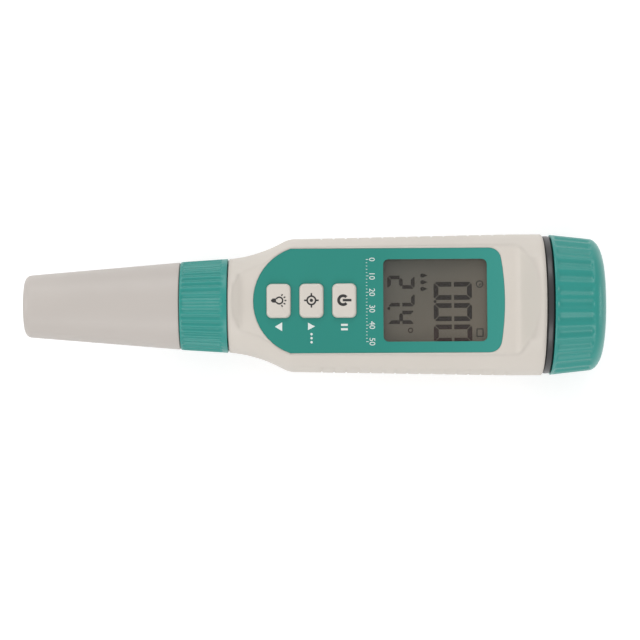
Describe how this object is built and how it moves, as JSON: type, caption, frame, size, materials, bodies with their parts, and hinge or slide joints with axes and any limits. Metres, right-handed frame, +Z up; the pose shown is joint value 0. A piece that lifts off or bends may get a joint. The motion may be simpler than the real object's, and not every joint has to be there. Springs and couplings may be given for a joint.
{
  "type": "pen salinity meter",
  "caption": "Pen-shaped salinity meter with a flat keyed display front, a screw-on lobed battery cap, a ribbed electrode collar and a pull-off sensor cap.",
  "frame": {"origin": "centre of the bounding box's base, under the pen as it lies on its back", "axes": "+X along the pen from the sensor tip to the battery cap, +Z up out of the display, +Y towards the back of the view"},
  "size_m": [0.173, 0.0424, 0.0422],
  "materials": {
    "shell_plastic": "fine matte moulded ABS, warm grey",
    "pale_plastic": "fine matte moulded plastic, pale grey",
    "key_plastic": "satin moulded plastic",
    "teal_plastic": "satin moulded plastic, teal",
    "label_film": "satin printed film, teal",
    "clear_window": "clear polished plastic",
    "display_glass": "smooth, grey-olive liquid crystal display",
    "light_guide": "milky light guide",
    "dark_plastic": "matte black plastic",
    "board_green": "green solder mask",
    "bright_steel": "fine turned steel",
    "contact_brass": "bright contact metal",
    "cell_jacket": "printed jacket, no wording",
    "lead_cover": "smooth insulation",
    "seal_rubber": "smooth dark rubber"
  },
  "bodies": {
    "meter": {"housing": "shell_plastic", "front_plate": "shell_plastic", "front_overlay": "label_film", "display_window": "clear_window", "lcd_glass": "display_glass", "lcd_frame": "dark_plastic", "backlight_panel": "light_guide", "zebra_strips": "seal_rubber", "main_pcb": "board_green", "pcb_screws": "bright_steel", "tact_switches": "dark_plastic", "circuit_chips": "dark_plastic", "battery_cradle": "dark_plastic", "battery_cells": "cell_jacket", "battery_springs": "bright_steel", "battery_terminals": "bright_steel", "battery_leads": "lead_cover", "socket_block": "dark_plastic", "socket_sleeves": "contact_brass", "socket_leads": "lead_cover"},
    "light_key": {"light_key": "key_plastic"},
    "cal_key": {"cal_key": "key_plastic"},
    "power_key": {"power_key": "key_plastic"},
    "contact_carrier": {"contact_carrier": "pale_plastic", "contact_strips": "contact_brass"},
    "battery_cap": {"battery_cap": "teal_plastic", "seal_ring": "seal_rubber", "carrier_screw": "bright_steel"},
    "electrode": {"electrode_body": "dark_plastic", "electrode_guard": "dark_plastic", "cell_pins": "bright_steel", "temperature_probe": "bright_steel", "plug_pins": "contact_brass", "socket_o_ring": "seal_rubber", "cap_o_ring": "seal_rubber"},
    "collar": {"collar": "teal_plastic"},
    "sensor_cap": {"sensor_cap": "pale_plastic"}
  },
  "joints": [
    {"name": "battery_cap_rise", "type": "slide", "parent": "meter", "child": "contact_carrier", "axis": [1, 0, 0], "range_m": [0, 0.006]},
    {"name": "battery_cap_turn", "type": "hinge", "parent": "contact_carrier", "child": "battery_cap", "pos_m": [0.0735, 0, 0.021], "axis": [1, 0, 0], "range_deg": [0, 720]},
    {"name": "electrode_draw", "type": "slide", "parent": "meter", "child": "electrode", "axis": [-1, 0, 0], "range_m": [0, 0.01]},
    {"name": "collar_turn", "type": "hinge", "parent": "electrode", "child": "collar", "pos_m": [-0.0325, 0, 0.021], "axis": [-1, 0, 0], "range_deg": [0, 1800]},
    {"name": "sensor_cap_pull", "type": "slide", "parent": "electrode", "child": "sensor_cap", "axis": [-1, 0, 0], "range_m": [0, 0.04]},
    {"name": "light_key_press", "type": "slide", "parent": "meter", "child": "light_key", "axis": [0.0173, 0, -0.9999], "range_m": [0, 0.0005], "stiffness_N_per_m": 800},
    {"name": "cal_key_press", "type": "slide", "parent": "meter", "child": "cal_key", "axis": [0.0173, 0, -0.9999], "range_m": [0, 0.0005], "stiffness_N_per_m": 800},
    {"name": "power_key_press", "type": "slide", "parent": "meter", "child": "power_key", "axis": [0.0173, 0, -0.9999], "range_m": [0, 0.0005], "stiffness_N_per_m": 800}
  ],
  "couplings": [
    {"joint": "battery_cap_turn", "follows": "battery_cap_rise", "rad_per_m": 2094.4},
    {"joint": "collar_turn", "follows": "electrode_draw", "rad_per_m": 3141.6}
  ]
}
